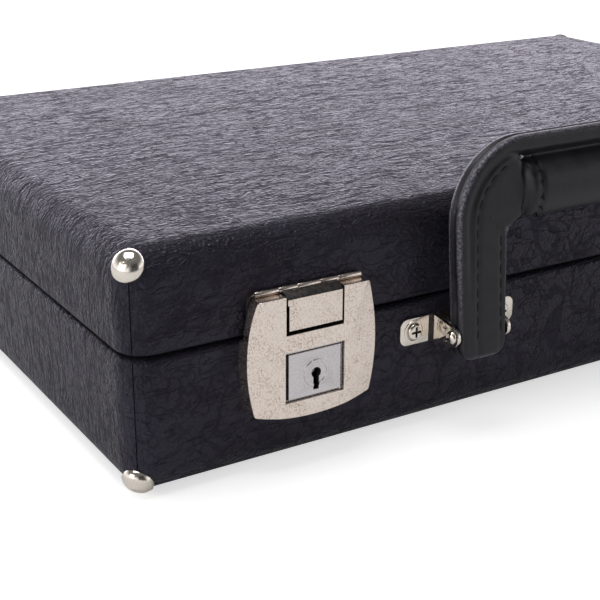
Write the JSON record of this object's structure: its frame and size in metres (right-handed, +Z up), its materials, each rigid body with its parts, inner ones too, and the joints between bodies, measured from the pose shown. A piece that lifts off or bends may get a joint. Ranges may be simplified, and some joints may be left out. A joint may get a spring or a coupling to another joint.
{
  "type": "recorder case",
  "caption": "Leather-covered box case for recorders with a hinged lid, lever locks at the front, a leather carrying handle between them and nickel nails on its corners.",
  "frame": {"origin": "centre of the underside, which is the face the case rests on", "axes": "+X along the front towards the right lock, +Y from the front to the hinged back, +Z up"},
  "size_m": [0.3608, 0.2446, 0.0943],
  "materials": {
    "case_leather": "black creased leather with a soft sheen",
    "handle_leather": "smooth black leather, stitched, with polished edges",
    "nickel_plate": "worn nickel plate",
    "button_plate": "satin nickel plate",
    "zinc_steel": "zinc plated steel",
    "spring_steel": "blued spring steel",
    "plywood": "bare plywood",
    "plush": "short pile plush"
  },
  "bodies": {
    "base": {"base_back_board": "plywood", "base_bottom_board": "plywood", "base_front_board": "plywood", "base_hinge_screws": "nickel_plate", "base_leather": "case_leather", "base_leather_bottom": "case_leather", "base_left_board": "plywood", "base_right_board": "plywood", "base_studs": "nickel_plate", "bracket_screws": "nickel_plate", "cross_block_back": "plush", "cross_block_front": "plush", "cross_block_middle": "plush", "floor_pad": "plush", "handle_pins": "nickel_plate", "hinge_pins": "nickel_plate", "left_base_hinge_leaf": "nickel_plate", "left_catch_spring": "spring_steel", "left_handle_bracket": "nickel_plate", "left_lock_back_plate": "zinc_steel", "left_lock_cover": "nickel_plate", "locating_rim": "plush", "lock_rivets": "zinc_steel", "long_divider_back": "plush", "long_divider_front": "plush", "long_divider_middle": "plush", "right_base_hinge_leaf": "nickel_plate", "right_catch_spring": "spring_steel", "right_handle_bracket": "nickel_plate", "right_lock_back_plate": "zinc_steel", "right_lock_cover": "nickel_plate"},
    "lid": {"lid_top_board": "plywood", "lid_front_board": "plywood", "lid_back_board": "plywood", "lid_left_board": "plywood", "lid_right_board": "plywood", "lid_leather": "case_leather", "lid_lining": "plush", "lid_pad": "plush", "lid_studs": "nickel_plate", "left_lid_plate": "nickel_plate", "right_lid_plate": "nickel_plate", "lid_plate_rivets": "zinc_steel", "hasp_pins": "nickel_plate", "left_lid_hinge_leaf": "nickel_plate", "right_lid_hinge_leaf": "nickel_plate", "lid_hinge_screws": "nickel_plate"},
    "handle": {"handle_front_leather": "handle_leather", "handle_back_leather": "handle_leather", "handle_core": "zinc_steel", "handle_grip": "handle_leather", "handle_bushes": "nickel_plate"},
    "left_hasp": {"left_hasp": "nickel_plate"},
    "right_hasp": {"right_hasp": "nickel_plate"},
    "left_bolt": {"left_lock_bolt": "zinc_steel"},
    "right_bolt": {"right_lock_bolt": "zinc_steel"},
    "left_button": {"left_lock_button": "button_plate"},
    "right_button": {"right_lock_button": "button_plate"}
  },
  "joints": [
    {"name": "lid_hinge", "type": "hinge", "parent": "base", "child": "lid", "pos_m": [0, 0.11475, 0.0438], "axis": [-1, 0, 0], "range_deg": [0, 105]},
    {"name": "handle_swing", "type": "hinge", "parent": "base", "child": "handle", "pos_m": [0, -0.1237, 0.0336], "axis": [1, 0, 0], "range_deg": [0, 180]},
    {"name": "left_hasp_swing", "type": "hinge", "parent": "lid", "child": "left_hasp", "pos_m": [-0.1223, -0.11365, 0.057], "axis": [-1, 0, 0], "range_deg": [0, 115]},
    {"name": "left_bolt_slide", "type": "slide", "parent": "base", "child": "left_bolt", "axis": [1, 0, 0], "range_m": [0, 0.0045]},
    {"name": "left_button_press", "type": "slide", "parent": "base", "child": "left_button", "axis": [0, 1, 0], "range_m": [0, 0.0012], "stiffness_N_per_m": 800, "springref_m": -0.001},
    {"name": "right_hasp_swing", "type": "hinge", "parent": "lid", "child": "right_hasp", "pos_m": [0.1223, -0.11365, 0.057], "axis": [-1, 0, 0], "range_deg": [0, 115]},
    {"name": "right_bolt_slide", "type": "slide", "parent": "base", "child": "right_bolt", "axis": [1, 0, 0], "range_m": [0, 0.0045]},
    {"name": "right_button_press", "type": "slide", "parent": "base", "child": "right_button", "axis": [0, 1, 0], "range_m": [0, 0.0012], "stiffness_N_per_m": 800, "springref_m": -0.001}
  ]
}
